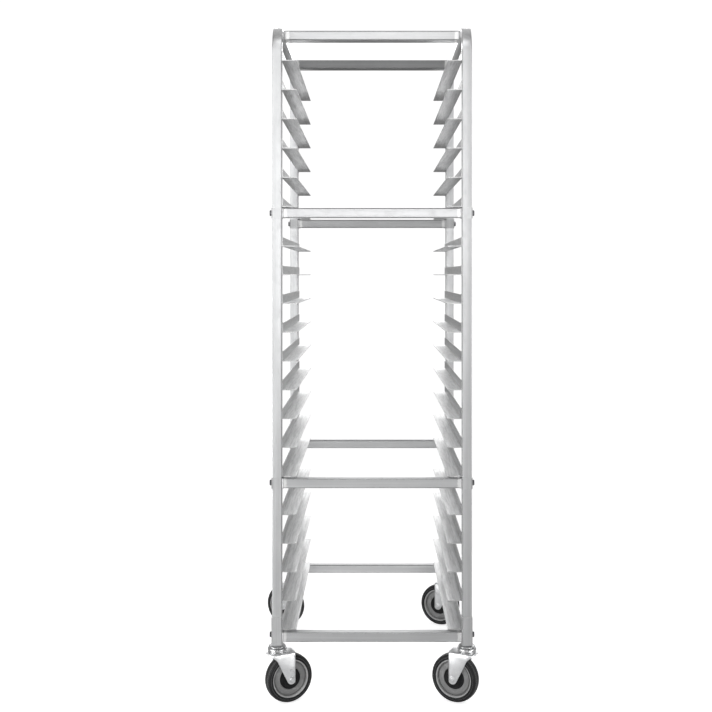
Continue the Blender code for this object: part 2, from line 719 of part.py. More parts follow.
def make_caster(side_name, end_name, trail_angle, head_side, materials):
    """One caster about its swivel axis; +X of the empty is the direction of trail."""
    corner = f"{end_name}_{side_name}"
    caster = bpy.data.objects.new(f"{corner}_swivel_axis", None)
    bpy.context.scene.collection.objects.link(caster)
    caster.location = (SIDES[side_name] * POST_X, ENDS[end_name] * POST_Y, 0)
    caster.rotation_euler = (0, 0, trail_angle)
    stem = make_stem(f"{corner}_caster_stem", caster, materials["zinc"])
    # The square stem stays in line with the post, whichever way the wheel trails.
    square = bmesh.new()
    add_upright(square, (0, 0), [(CAP_TOP - CAP_SLOPE, STEM_HALF, SPIGOT_CORNER),
                                 (STEM_TOP, STEM_HALF, SPIGOT_CORNER)], closed=False)
    bmesh.ops.rotate(square, verts=square.verts, cent=(0, 0, 0),
                     matrix=Matrix.Rotation(-trail_angle, 3, "Z"))
    combine(stem, "UNION", square, f"join_{corner}_square_stem")
    hole = bmesh.new()
    side = SIDES[side_name]
    add_rod(hole, (side * STEM_HOLE_START, 0, FOOT_BOLT_HEIGHT),
            (side * STEM_HOLE_END, 0, FOOT_BOLT_HEIGHT), BOLT_HOLE_RADIUS)
    bmesh.ops.rotate(hole, verts=hole.verts, cent=(0, 0, 0),
                     matrix=Matrix.Rotation(-trail_angle, 3, "Z"))
    combine(stem, "DIFFERENCE", hole, f"cut_{corner}_stem_hole")
    make_race(f"{corner}_swivel_race", caster, materials["chrome"])
    make_fork(f"{corner}_caster_fork", caster, materials["zinc"])
    make_axle(f"{corner}_axle_bolt", caster, head_side, materials["zinc"])
    make_axle_nut(f"{corner}_axle_nut", caster, head_side, materials["zinc"])
    make_wheel_part(f"{corner}_wheel_hub", caster, hub_profile(), HUB_SEGMENTS, materials["black"])
    make_wheel_part(f"{corner}_wheel_core", caster, core_profile(), CORE_SEGMENTS,
                    materials["grey"])
    make_wheel_part(f"{corner}_tyre", caster, tyre_profile(), TYRE_SEGMENTS, materials["rubber"])


def make_casters(materials):
    """The front left wheel trails inward and the other three trail towards the left side."""
    inward_left = TOE_ANGLE
    towards_left = math.pi - TOE_ANGLE
    make_caster("left", "front", inward_left, -1, materials)
    make_caster("right", "front", towards_left, 1, materials)
    make_caster("left", "rear", towards_left, 1, materials)
    make_caster("right", "rear", towards_left, 1, materials)


def main():
    clear_scene()
    materials = {
        "aluminium": make_material("aluminium", (0.78, 0.79, 0.80), 1.0, 0.34),
        "bolt": make_material("bolt_steel", (0.42, 0.42, 0.43), 1.0, 0.40),
        "zinc": make_material("zinc_plate", (0.80, 0.81, 0.82), 1.0, 0.28),
        "chrome": make_material("chrome", (0.82, 0.83, 0.84), 1.0, 0.14),
        "rubber": make_material("tyre_rubber", (0.030, 0.030, 0.032), 0.0, 0.62),
        "grey": make_material("wheel_core_plastic", (0.28, 0.28, 0.28), 0.0, 0.50),
        "black": make_material("hub_plastic", (0.020, 0.020, 0.022), 0.0, 0.45),
    }
    make_side_frames(materials["aluminium"])
    make_crossbars(materials["aluminium"])
    make_bolts(materials["bolt"])
    make_casters(materials)


main()
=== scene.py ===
"""Looks of the sheet pan rack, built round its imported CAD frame. Metres, +Z up, front at -Y."""
import json
import math
import random

import bmesh
import bpy
from mathutils import Matrix, Vector


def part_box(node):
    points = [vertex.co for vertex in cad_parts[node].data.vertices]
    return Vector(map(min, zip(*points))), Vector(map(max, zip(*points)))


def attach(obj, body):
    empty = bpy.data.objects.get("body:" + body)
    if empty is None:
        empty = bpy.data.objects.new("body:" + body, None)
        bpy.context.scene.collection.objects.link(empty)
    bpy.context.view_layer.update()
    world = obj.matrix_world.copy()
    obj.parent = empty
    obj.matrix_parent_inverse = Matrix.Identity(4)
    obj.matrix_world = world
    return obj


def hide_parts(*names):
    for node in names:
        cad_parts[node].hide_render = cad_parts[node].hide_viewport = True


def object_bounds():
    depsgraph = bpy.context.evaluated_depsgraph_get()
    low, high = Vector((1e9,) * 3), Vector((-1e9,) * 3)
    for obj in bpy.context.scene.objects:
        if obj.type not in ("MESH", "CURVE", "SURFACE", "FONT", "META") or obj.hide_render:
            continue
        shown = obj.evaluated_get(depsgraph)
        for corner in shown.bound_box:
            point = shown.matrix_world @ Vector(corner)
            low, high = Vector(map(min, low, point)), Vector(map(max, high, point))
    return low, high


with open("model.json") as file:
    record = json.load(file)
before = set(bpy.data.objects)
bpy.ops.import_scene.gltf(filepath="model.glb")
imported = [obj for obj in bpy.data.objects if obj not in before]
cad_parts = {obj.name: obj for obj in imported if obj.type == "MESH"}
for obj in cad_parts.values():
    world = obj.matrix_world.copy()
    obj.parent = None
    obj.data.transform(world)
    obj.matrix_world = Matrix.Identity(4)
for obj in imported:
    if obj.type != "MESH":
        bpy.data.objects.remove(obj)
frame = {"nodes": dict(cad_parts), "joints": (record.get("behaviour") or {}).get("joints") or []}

cad_low, cad_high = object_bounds()
dice = random.Random(20)

JOINTS = {joint["name"]: joint for joint in frame["joints"]}
NODES = frame["nodes"]
CORNERS = ("front_left", "front_right", "rear_left", "rear_right")
SIDES = {"left": -1, "right": 1}
ENDS = {"front": -1, "rear": 1}
MM = 0.001

# ---- sizes read from the frame ---------------------------------------------------------------
swivel = Vector(JOINTS["front_right_swivel"]["pos_m"])
POST_X, POST_Y = abs(swivel.x), abs(swivel.y)
RACK_TOP = cad_high.z
WHEEL_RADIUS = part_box("front_left_tyre")[1].z / 2
HALF_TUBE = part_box("right_middle_ladder")[1].x - POST_X
POST_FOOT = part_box("left_lower_ladder")[0].z
LOWER_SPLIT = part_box("left_lower_ladder")[1].z
UPPER_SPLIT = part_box("left_upper_hoop_ladder")[0].z

# ---- sizes shared with the part's source -----------------------------------------------------
TUBE_WALL = 1.6 * MM
TUBE_CORNER = 2.6 * MM
BEND_RADIUS = 59.3 * MM
BEND_STEPS = 20              # straight stretches in each bend of a hoop
GAP = 0.3 * MM               # clearance between pieces that touch
SPIGOT_HALF = 10.8 * MM
SPIGOT_BORE = 8.3 * MM
SPIGOT_REACH = 40.0 * MM
SPIGOT_GRIP = 25.0 * MM
COLLAR_HALF = 14.3 * MM
SHEET_ANGLE = 2.2 * MM       # thickness of the runners' angle
LEDGE = 38.5 * MM            # how far a runner reaches in from the posts
FLANGE = 24.5 * MM           # height of a runner's upright leg
RUNNER_HALF = POST_Y + HALF_TUBE
COLLAR_BAR_RISE = 1.3 * MM   # from a collar's lower edge up to its bar
FOOT_BAR_RISE = {"lower_front_crossbar": 8.9 * MM, "lower_rear_crossbar": 15.6 * MM}
# section: (tiers, underside of the top ledge, pitch)
TIERS = {
    "upper_hoop": (6, 1.6770, 0.0761),
    "middle": (9, 1.1936, 0.0749),
    "lower": (5, 0.4942, 0.0745),
}
AXIS_X, AXIS_Y, AXIS_Z = Vector((1, 0, 0)), Vector((0, 1, 0)), Vector((0, 0, 1))

# ---- sizes that only the finer shapes have ----------------------------------------------------
SPIGOT_CORNER = 1.5 * MM
RUNNER_EDGE = 0.6 * MM       # rounding of the runners' edges
BEAD_SIDES = 8
RIPPLE = 1.7 * MM            # spacing of the ripples along a weld bead
RIPPLE_DEPTH = 0.13          # share of the bead's size
RIPPLE_SCATTER = 0.05
BEAD_CEILING = RACK_TOP - 0.05 * MM
SEAM_INSET = 1.5 * MM        # how far a bar's bead stands in from the face of its collar
STITCH_HALF = 8.5            # mm; half the length of a runner's stitch weld
STITCH_SCATTER = 1.2         # mm
WELD_SINK = 0.5 * MM         # how far a stitch weld's centre lies inside the post
CROWN_TOP = 135.0 * MM
FORK_TRAIL = 32.0 * MM
FORK_HALF = 22.2 * MM
FORK_SHEET = 3.0 * MM
FORK_FOOT = WHEEL_RADIUS - 14 * MM
FORK_EYE = 12.3 * MM
FORK_EDGE = 0.7 * MM
CHEEK_BEND = 7.0 * MM
STEM_HALF = 10.8 * MM
STEM_CORNER = 1.5 * MM
AXLE_SEAT = FORK_HALF + GAP  # where the axle's head and nut bear on the fork
AXLE_RADIUS = 3.95 * MM
AXLE_TAIL = 8.0 * MM
NUT_FLATS = 13 * MM
FLOOR_RADIUS = 1.25
FLOOR_LIFT = 0.7             # washes the floor's shadows out towards white, as in the photo

# Outlines in millimetres. Those of turned pieces are (radius, height) or, for what turns with the
# wheel, (radius, distance from the wheel's middle plane); the wheel's are one half, to be mirrored.
FORK_PLAN = (                # (along the trail, half width), from the fork's nose to its tail
    (-27.6, 10.0), (-26.5, 12.6), (-24.5, 15.6), (-21.5, 18.3), (-17.5, 20.5), (-12.0, 21.9),
    (-6.0, 22.2), (38.0, 22.2), (40.5, 21.8), (42.6, 20.6), (44.0, 18.6))
FORK_NOSE = (                # side view: (along the trail, height) down to the eye, then back up
    (-29.0, 136.0), (-29.0, 131.0), (-25.0, 129.0), (-16.0, 123.5), (-10.0, 118.5), (-7.2, 115.0),
    (6.4, 86.8))
FORK_TAIL = ((45.0, 112.0), (45.0, 136.0))
RACE_FOOT = ((6.4, 0.0), (23.4, 0.0), (24.3, 0.4), (24.5, 1.0), (24.1, 1.7), (23.2, 2.2))
RACE_HEAD = (6.4, 13.4)
CAP_OUTLINE = (
    (7.0, 128.0), (9.2, 129.0), (9.2, 131.2), (6.0, 131.2), (6.0, 149.0), (20.6, 149.0),
    (21.8, 149.5), (22.3, 150.6), (21.8, 151.8), (20.4, 152.8), (17.8, 153.6), (15.0, 154.0))
STEM_ENDS = (153.8, 215.0)
AXLE_HEAD = (
    (8.4, 0.0), (8.4, 0.8), (7.9, 1.2), (6.5, 1.3), (6.2, 2.1), (5.3, 3.1), (3.8, 3.6), (2.4, 3.5),
    (2.0, 3.1))
TYRE = (
    (49.3, 15.2), (50.2, 15.9), (52.6, 16.0), (54.4, 15.7), (54.9, 15.1), (55.5, 15.4),
    (57.6, 14.9), (59.6, 13.6), (61.2, 12.0), (61.9, 10.9), (61.2, 10.2), (61.4, 9.6), (62.5, 9.4),
    (62.9, 8.0), (62.2, 7.3), (62.4, 6.7), (63.2, 6.5), (63.4, 4.0), (63.5, 0.9), (63.5, 0.35))
RIM_RING = (
    (46.4, 5.0), (46.5, 13.6), (47.0, 14.7), (48.1, 15.2), (48.9, 15.0), (49.2, 14.4), (49.2, 5.0))
WHEEL_WEB = (
    (28.2, 10.2), (29.0, 11.0), (30.4, 11.3), (36.0, 10.9), (41.4, 9.8), (42.2, 9.0), (42.6, 5.2),
    (46.2, 5.2), (46.3, 4.0))
HUB = (
    (4.4, 18.6), (8.2, 18.6), (9.0, 18.0), (9.6, 15.0), (11.0, 13.4), (15.0, 12.7), (21.0, 12.2),
    (22.0, 11.6), (23.4, 11.6), (24.4, 12.3), (26.6, 12.4), (27.5, 11.8))

# name, direction, cosines where the lobe starts and is full, strength
SKY_LOBES = (
    ("sky_behind_high", (0, 1, 0.45), 0.2, 0.9, 0.33),
    ("sky_behind_up", (0, 1, 0.5), 0.86, 0.98, 1.0),
    ("sky_front_low", (0, -1, -0.3), 0.4, 0.95, 0.67),
    ("sky_left", (-1, 0, 0.1), 0.3, 0.95, 0.36),
    ("sky_right", (1, 0, 0.1), 0.3, 0.95, 0.36),
)
# name, place, target, watts, width, height
SOFTBOXES = (
    ("high_rear_softbox", (0.0, 1.6, 2.4), (0, 0, 1.0), 20.0, 1.4, 0.9),
    ("rear_right_softbox", (1.3, 1.6, 1.2), (0, 0, 1.0), 4.3, 0.8, 1.6),
    ("left_softbox", (-1.1, -1.7, 1.7), (0, -0.1, 1.2), 5.6, 0.9, 1.3),
    ("right_softbox", (1.1, -1.7, 1.7), (0, -0.1, 1.2), 1.4, 0.9, 1.3),
    ("low_left_softbox", (-1.2, -1.2, 0.4), (0, -0.2, 0.3), 4.1, 0.5, 0.5),
    ("left_strip", (-1.5, -0.6, 1.3), (0, -0.3, 1.0), 5.0, 1.0, 1.6),
    ("right_strip", (1.5, -0.6, 1.3), (0, -0.3, 1.0), 3.0, 1.0, 1.6),
    ("camera_card", (0.0, -3.6, 1.6), (0, 0, 1.2), 12.0, 1.4, 1.4),
    ("top_front_strip", (0.0, -0.9, 2.3), (0, -0.3, 1.7), 2.4, 0.8, 0.4),
    ("left_edge_strip", (-1.6, -0.35, 0.95), (0, -0.33, 0.95), 6.0, 0.5, 1.9),
    ("right_edge_strip", (1.6, -0.35, 0.95), (0, -0.33, 0.95), 6.0, 0.5, 1.9),
    ("hoop_top_card", (0.0, -0.1, 3.0), (0, -0.1, 1.7), 4.0, 1.6, 1.4),
    ("left_post_card", (-0.2, -3.4, 0.8), (0, -0.33, 0.75), 2.2, 1.0, 0.6),
    ("rear_post_card", (0.1, -3.4, 1.3), (0, 0.33, 1.2), 6.0, 1.0, 0.8),
    ("rear_foot_card", (0.0, -2.6, 0.6), (0, 0.33, 0.2), 15.0, 1.0, 0.5),
    ("left_fork_card", (-1.2, -1.3, 0.12), (0, -0.3, 0.09), 12.0, 1.2, 0.22),
    ("right_fork_card", (1.2, -1.3, 0.12), (0, -0.3, 0.09), 12.0, 1.2, 0.22),
    ("high_rear_runner_fill", (0.0, 1.6, 2.4), (0, 0, 1.0), 12.0, 1.4, 0.9),
)


# ---- materials -------------------------------------------------------------------------------
class Shader:
    """One material's node tree, with short calls for the nodes that repeat."""

    def __init__(self, name):
        self.material = bpy.data.materials.new(name)
        self.material.use_nodes = True
        self.tree = self.material.node_tree
        self.surface = self.tree.nodes["Principled BSDF"]
        coordinates = self.tree.nodes.new("ShaderNodeTexCoord")
        self.place = coordinates.outputs["Object"]

    def wire(self, source, socket):
        if hasattr(source, "is_output"):
            self.tree.links.new(source, socket)
        else:
            socket.default_value = source

    def math(self, operation, a, b=0.0, clamp=False):
        node = self.tree.nodes.new("ShaderNodeMath")
        node.operation = operation
        node.use_clamp = clamp
        self.wire(a, node.inputs[0])
        self.wire(b, node.inputs[1])
        return node.outputs[0]

    def split(self, vector):
        node = self.tree.nodes.new("ShaderNodeSeparateXYZ")
        self.wire(vector, node.inputs[0])
        return node.outputs

    def scaled(self, scale, vector=None):
        node = self.tree.nodes.new("ShaderNodeMapping")
        node.inputs["Scale"].default_value = scale
        self.wire(vector or self.place, node.inputs["Vector"])
        return node.outputs[0]

    def noise(self, scale, detail=3.0, rough=0.5, vector=None):
        node = self.tree.nodes.new("ShaderNodeTexNoise")
        node.inputs["Scale"].default_value = 1.0
        node.inputs["Detail"].default_value = detail
        node.inputs["Roughness"].default_value = rough
        self.wire(self.scaled(scale, vector), node.inputs["Vector"])
        return node.outputs["Fac"]

    def ramp(self, value, low, high, out_low=0.0, out_high=1.0):
        node = self.tree.nodes.new("ShaderNodeMapRange")
        node.interpolation_type = "SMOOTHSTEP"
        for socket, number in zip(node.inputs[1:5], (low, high, out_low, out_high)):
            socket.default_value = number
        self.wire(value, node.inputs[0])
        return node.outputs[0]

    def blend(self, factor, a, b, colour=False):
        node = self.tree.nodes.new("ShaderNodeMix")
        node.data_type = "RGBA" if colour else "FLOAT"
        sockets = [s for s in node.inputs if s.enabled]
        for source, socket in zip((factor, a, b), sockets):
            self.wire((*source, 1.0) if isinstance(source, tuple) else source, socket)
        return next(s for s in node.outputs if s.enabled)

    def bump(self, height, strength, distance):
        node = self.tree.nodes.new("ShaderNodeBump")
        node.inputs["Strength"].default_value = strength
        node.inputs["Distance"].default_value = distance
        self.wire(height, node.inputs["Height"])
        self.wire(node.outputs[0], self.surface.inputs["Normal"])

    def edges(self, radius):
        """1 on edges and 0 on flats, from how far a rounded normal leans away."""
        round_node = self.tree.nodes.new("ShaderNodeBevel")
        round_node.samples = 4
        round_node.inputs["Radius"].default_value = radius
        flat = self.tree.nodes.new("ShaderNodeNewGeometry")
        dot = self.tree.nodes.new("ShaderNodeVectorMath")
        dot.operation = "DOT_PRODUCT"
        self.wire(round_node.outputs[0], dot.inputs[0])
        self.wire(flat.outputs["Normal"], dot.inputs[1])
        return self.ramp(dot.outputs["Value"], 0.995, 0.93)

    def finish(self, colour, roughness, metallic):
        self.wire(colour, self.surface.inputs["Base Color"])
        self.wire(roughness, self.surface.inputs["Roughness"])
        self.surface.inputs["Metallic"].default_value = metallic
        return self.material


ALUMINIUM = (0.70, 0.705, 0.71)
ALUMINIUM_DARK = (0.53, 0.534, 0.54)
ALUMINIUM_LIGHT = (0.82, 0.82, 0.82)
STREAK_DARK = (0.42, 0.422, 0.425)
FLANGE_PAINTED_SHADE = (0.36, 0.362, 0.365)
GROUND_WELD = (0.93, 0.93, 0.925)
SAWN_DARK = (0.20, 0.20, 0.20)
SAWN_LIGHT = (0.36, 0.36, 0.36)

# Where a mark fades in: two depths, in metres, below the face, centre or top that it starts from.
SAWN_FADE = (0.0006, 0.0003)       # sawn runner ends, from the ends
FLANGE_SHADE_FADE = (0.0008, 0.0002)     # painted shade on the flanges, from the runners' inner faces
GROUND_FADE = (0.0215, 0.0165)     # ground weld patches, from the posts' centres
GROUND_FRAY = 0.012
COLLAR_FADE = (0.0146, 0.0143)     # collars and sleeves, from the posts' centres
HOOP_TOP_FADE = (0.05, 0.03)       # flat tops of the hoops, from the rack's top


def ladder_colour(s, colour, runner, x, y, z):
    """Sawn ends and streaks on the runners, and painted shade on the flanges, darker towards the
    floor.
    """
    end = POST_Y + HALF_TUBE
    sawn = s.math("MULTIPLY", s.ramp(s.math("ABSOLUTE", y), *(end - depth for depth in SAWN_FADE)),
                  runner)
    kerf = s.noise((1500.0, 200.0, 90.0), 2.0, 0.5)
    colour = s.blend(sawn, colour, s.blend(kerf, SAWN_DARK, SAWN_LIGHT, colour=True), colour=True)
    streaks = s.math("MULTIPLY", s.ramp(s.noise((240.0, 11.0, 240.0), 5.0, 0.68), 0.40, 0.64),
                     runner)
    colour = s.blend(s.math("MULTIPLY", runner, 0.55), colour, ALUMINIUM_LIGHT, colour=True)
    colour = s.blend(s.math("MULTIPLY", streaks, 0.55), colour, STREAK_DARK, colour=True)
    # Painted shade on the upright flanges, stronger towards the floor.
    face = POST_X - HALF_TUBE - SHEET_ANGLE
    flange = s.ramp(s.math("ABSOLUTE", x), *(face - depth for depth in FLANGE_SHADE_FADE))
    flange = s.math("MULTIPLY", flange, runner)
    flange = s.math("MULTIPLY", flange, s.ramp(z, 1.2, 0.5, 0.4, 0.85))
    return s.blend(flange, colour, FLANGE_PAINTED_SHADE, colour=True)


def bar_colour(s, colour, collar, x, y, z):
    """Brightly ground patches with frayed edges, where a bar's ends were welded and cleaned."""
    frayed = s.math("ADD", s.math("ABSOLUTE", x),
                    s.math("MULTIPLY", s.noise((160.0, 160.0, 160.0), 4.0, 0.7), GROUND_FRAY))
    ground = s.ramp(frayed, *(POST_X - depth for depth in GROUND_FADE))
    ground = s.math("MULTIPLY", ground, s.math("SUBTRACT", 1.0, collar))
    return s.blend(s.math("MULTIPLY", ground, 0.9), colour, GROUND_WELD, colour=True)


def drawn_aluminium(name, direction, member_colour, painted_shade=1.0):
    """Mill-finish extrusion: drawn lines along each member, dull patches and polished edges.

    direction(shader, x, y, z) returns (factor, first, second): two axes for the drawn lines and
    where the second takes over, because one CAD node holds members that run two ways.
    member_colour adds what only the ladders or only the bars have; the last argument darkens the
    whole colour, as painted shade.
    """
    s = Shader(name)
    x, y, z = s.split(s.place)
    factor, first, second = direction(s, x, y, z)

    def lines(fineness, length, detail=2.0):
        pair = []
        for axis in (first, second):
            scale = [fineness] * 3
            scale[axis] = length
            pair.append(s.noise(scale, detail, 0.55))
        return s.blend(factor, *pair)

    broad = lines(95.0, 1.3)
    fine = lines(900.0, 9.0, 3.0)
    patches = s.noise((7.0, 7.0, 7.0), 4.0, 0.6)
    scuffs = s.noise((60.0, 60.0, 60.0), 5.0, 0.7)
    tone = s.math("ADD", s.ramp(broad, 0.30, 0.72, 0.0, 0.55), s.ramp(patches, 0.3, 0.7, 0.0, 0.25))
    tone = s.math("ADD", tone, s.ramp(fine, 0.25, 0.75, 0.0, 0.20))
    # Painted shade: the last argument darkens the whole colour, for the top rear bar.
    colour = s.blend(tone, *(tuple(channel * painted_shade for channel in shade)
                             for shade in (ALUMINIUM_DARK, ALUMINIUM)), colour=True)
    colour = member_colour(s, colour, factor, x, y, z)
    worn = s.math("MULTIPLY", s.edges(0.0011), s.ramp(scuffs, 0.35, 0.62, 0.25, 1.0))
    colour = s.blend(worn, colour, ALUMINIUM_LIGHT, colour=True)
    rough = s.math("ADD", s.ramp(broad, 0.3, 0.7, 0.30, 0.40), s.ramp(scuffs, 0.45, 0.7, 0.0, 0.09))
    rough = s.math("ADD", rough, s.ramp(fine, 0.3, 0.7, 0.0, 0.06))
    rough = s.blend(worn, rough, 0.24)
    s.bump(s.math("ADD", fine, s.math("MULTIPLY", broad, 0.6)), 0.35, 0.0002)
    return s.finish(colour, rough, 1.0)


def ladder_direction(s, x, y, z):
    """Posts run up Z; runners, and the flat top of the hoop, run along Y."""
    inside = s.ramp(s.math("ABSOLUTE", x), POST_X - HALF_TUBE + GAP, POST_X - HALF_TUBE)
    top = s.ramp(z, *(RACK_TOP - depth for depth in HOOP_TOP_FADE))
    return s.math("MAXIMUM", inside, top), 2, 1


def bar_direction(s, x, y, z):
    """Bars run along X; collars and sleeves at their ends run up Z."""
    collar = s.ramp(s.math("ABSOLUTE", x), *(POST_X - depth for depth in COLLAR_FADE))
    return collar, 0, 2


def plated(name, colour, dark, roughness, grain, bump):
    """Zinc or chrome plate: a fine spangle and faint smears."""
    s = Shader(name)
    spangle = s.noise((grain,) * 3, 3.0, 0.6)
    smears = s.noise((18.0, 18.0, 40.0), 4.0, 0.6)
    tone = s.math("ADD", s.ramp(spangle, 0.3, 0.7, 0.2, 0.7), s.ramp(smears, 0.35, 0.65, 0.0, 0.3))
    base = s.blend(tone, dark, colour, colour=True)
    rough = s.math("ADD", s.ramp(smears, 0.3, 0.7, roughness, roughness * 1.5),
                   s.ramp(spangle, 0.3, 0.7, 0.0, roughness * 0.25))
    s.bump(spangle, bump, 0.0002)
    return s.finish(base, rough, 1.0)


def moulded(name, colour, light, roughness, grain, bump, gloss=0.5, worn_edge_and_highlight=None,
            worn_edge_and_highlight_radius=0.0007):
    """Rubber or plastic: fine moulded grain, dusty patches and paler edges, worn and, where a pale
    edge colour is given, a painted highlight.
    """
    s = Shader(name)
    skin = s.noise((grain,) * 3, 2.0, 0.5)
    dust = s.noise((45.0,) * 3, 5.0, 0.65)
    base = s.blend(s.ramp(dust, 0.42, 0.72, 0.0, 0.8), colour, light, colour=True)
    # Paler edges: partly worn, and with the tyre's pale edge colour over a wide band, a painted
    # highlight along its grooves.
    base = s.blend(s.math("MULTIPLY", s.edges(worn_edge_and_highlight_radius), 0.6), base, worn_edge_and_highlight or light, colour=True)
    rough = s.math("ADD", s.ramp(dust, 0.3, 0.7, roughness, roughness + 0.12),
                   s.ramp(skin, 0.3, 0.7, 0.0, 0.05))
    s.bump(skin, bump, 0.0002)
    s.surface.inputs["Specular IOR Level"].default_value = gloss
    return s.finish(base, rough, 0.0)


LADDER_METAL = drawn_aluminium("drawn_aluminium_side_frames", ladder_direction, ladder_colour)
BAR_METAL = drawn_aluminium("drawn_aluminium_crossbars", bar_direction, bar_colour)
# Painted shade: the top rear bar's copy is darkened to 0.6 for the shadow that falls on it.
PAINTED_SHADE_BAR_METAL = drawn_aluminium("drawn_aluminium_painted_shade_crossbar", bar_direction, bar_colour,
                                 painted_shade=0.6)
WELD_METAL = plated("weld_bead_aluminium", (0.86, 0.86, 0.86), (0.55, 0.55, 0.56), 0.30, 700.0, 0.3)
BOLT_METAL = plated("dull_bolt_steel", (0.22, 0.22, 0.23), (0.07, 0.07, 0.075), 0.32, 500.0, 0.25)
# Painted shade: the cap's zinc is a darker copy of the fork's plate, so its top shows mid grey, not
# white.
PAINTED_SHADE_CAP_ZINC = plated("swivel_cap_zinc_painted_shade", (0.60, 0.605, 0.61), (0.42, 0.425, 0.43), 0.20, 420.0, 0.12)
ZINC = plated("bright_zinc_plate", (0.88, 0.885, 0.89), (0.74, 0.745, 0.76), 0.24, 420.0, 0.12)
CHROME = plated("swivel_race_chrome", (0.62, 0.625, 0.63), (0.42, 0.425, 0.43), 0.13, 250.0, 0.05)
# The tyre's pale edges over a wide band are partly worn and partly a painted highlight along the
# tread grooves.
RUBBER = moulded("tyre_rubber_black", (0.010, 0.010, 0.011), (0.030, 0.030, 0.030), 0.36, 1500.0,
                 0.2, gloss=0.35, worn_edge_and_highlight=(0.34, 0.34, 0.34), worn_edge_and_highlight_radius=0.0013)
WEB_GREY = moulded("wheel_web_grey", (0.26, 0.26, 0.26), (0.40, 0.40, 0.40), 0.42, 900.0, 0.15)
RIM_LIGHT = moulded("wheel_rim_light_grey", (0.56, 0.56, 0.56), (0.70, 0.70, 0.70), 0.35, 900.0,
                    0.1)
HUB_BLACK = moulded("hub_plastic_black", (0.006, 0.006, 0.007), (0.020, 0.020, 0.020), 0.30, 900.0,
                    0.15, gloss=0.25)

# ending of a node's name, material; the first that fits is used
NODE_LOOKS = (
    ("_ladder", LADDER_METAL), ("top_rear_crossbar", PAINTED_SHADE_BAR_METAL), ("_crossbar", BAR_METAL),
    ("_axle_bolt", ZINC), ("_bolt", BOLT_METAL), ("_race", CHROME), ("_tyre", RUBBER),
    ("_core", WEB_GREY), ("_hub", HUB_BLACK), ("", ZINC),
)
for node_name in NODES:
    look = next(material for ending, material in NODE_LOOKS if node_name.endswith(ending))
    for entry in NODES[node_name].material_slots:
        entry.material = look


# ---- mesh helpers ----------------------------------------------------------------------------
def add_object(name, data):
    obj = bpy.data.objects.new(name, data)
    bpy.context.scene.collection.objects.link(obj)
    return obj


def mesh_from(bm, name):
    mesh = bpy.data.meshes.new(name)
    bm.to_mesh(mesh)
    bm.free()
    return mesh


def applied_mesh(obj):
    """The object's mesh with its modifiers applied."""
    bpy.context.view_layer.update()
    evaluated = obj.evaluated_get(bpy.context.evaluated_depsgraph_get())
    return bpy.data.meshes.new_from_object(evaluated)


def place_piece(name, mesh, material, body, slot_name, matrix=None, crease=None, stands_for=()):
    """Turn a mesh into a piece that rides on a CAD body and stands for the nodes named."""
    if matrix is not None:
        mesh.transform(matrix)
    mesh.materials.clear()
    mesh.materials.append(material)
    if crease is not None:
        mesh.shade_smooth()
        mesh.set_sharp_from_angle(angle=math.radians(crease))
    piece = add_object(name, mesh)
    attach(piece, body)
    if stands_for:
        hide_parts(*stands_for)
    return piece


def add_piece(name, bm, *looks, **options):
    """place_piece, from a bmesh."""
    return place_piece(name, mesh_from(bm, name), *looks, **options)


def add_loft(bm, loops, closed_rings=True, capped=True, closed_loft=False):
    """Skin through loops of points; returns the rings of vertices."""
    rings = [[bm.verts.new(point) for point in loop] for loop in loops]
    pairs = list(zip(rings, rings[1:]))
    if closed_loft:
        pairs.append((rings[-1], rings[0]))
    faces = []
    for low, high in pairs:
        count = len(low)
        for i in range(count if closed_rings else count - 1):
            j = (i + 1) % count
            faces.append(bm.faces.new((low[i], low[j], high[j], high[i])))
    if capped and not closed_loft:
        faces.append(bm.faces.new(list(reversed(rings[0]))))
        faces.append(bm.faces.new(rings[-1]))
    bmesh.ops.recalc_face_normals(bm, faces=faces)
    return rings


def softened(profile, radius, steps=3, closed=True):
    """Round every corner of an (a, b) outline with a small arc."""
    count = len(profile)
    rounded = []
    for i in range(count):
        here = Vector(profile[i])
        if not closed and i in (0, count - 1):
            rounded.append(tuple(here))
            continue
        back = Vector(profile[i - 1]) - here
        ahead = Vector(profile[(i + 1) % count]) - here
        cut = min(radius, back.length * 0.45, ahead.length * 0.45)
        start = here + back.normalized() * cut
        end = here + ahead.normalized() * cut
        for step in range(steps + 1):
            t = step / steps
            rounded.append(tuple(start.lerp(here, t).lerp(here.lerp(end, t), t)))
    return rounded


def turned(profile, segments, closed):
    """Solid of revolution about Z from (radius, height) pairs."""
    bm = bmesh.new()
    loops = []
    for radius, z in profile:
        ring = []
        for i in range(segments):
            angle = 2 * math.pi * i / segments
            ring.append((radius * math.cos(angle), radius * math.sin(angle), z))
        loops.append(ring)
    add_loft(bm, loops, capped=not closed, closed_loft=closed)
    return bm


def in_mm(points):
    return [(a * MM, b * MM) for a, b in points]


def arc(centre_a, centre_b, radius, start, sweep, steps):
    """Points along an arc; its angles are in degrees."""
    points = []
    for step in range(steps + 1):
        angle = math.radians(start + sweep * step / steps)
        points.append((centre_a + radius * math.cos(angle), centre_b + radius * math.sin(angle)))
    return points


def mirrored(half):
    return half + [(radius, -z) for radius, z in reversed(half)]


def boolean(obj, tool_bm, operation):
    """Cut or trim obj with the solid in tool_bm, and apply it."""
    tool = add_object("tool", mesh_from(tool_bm, "tool"))
    modifier = obj.modifiers.new("cut", "BOOLEAN")
    modifier.operation = operation
    modifier.solver = "EXACT"
    modifier.object = tool
    result = applied_mesh(obj)
    obj.modifiers.clear()
    obj.data = result
    bpy.data.objects.remove(tool)


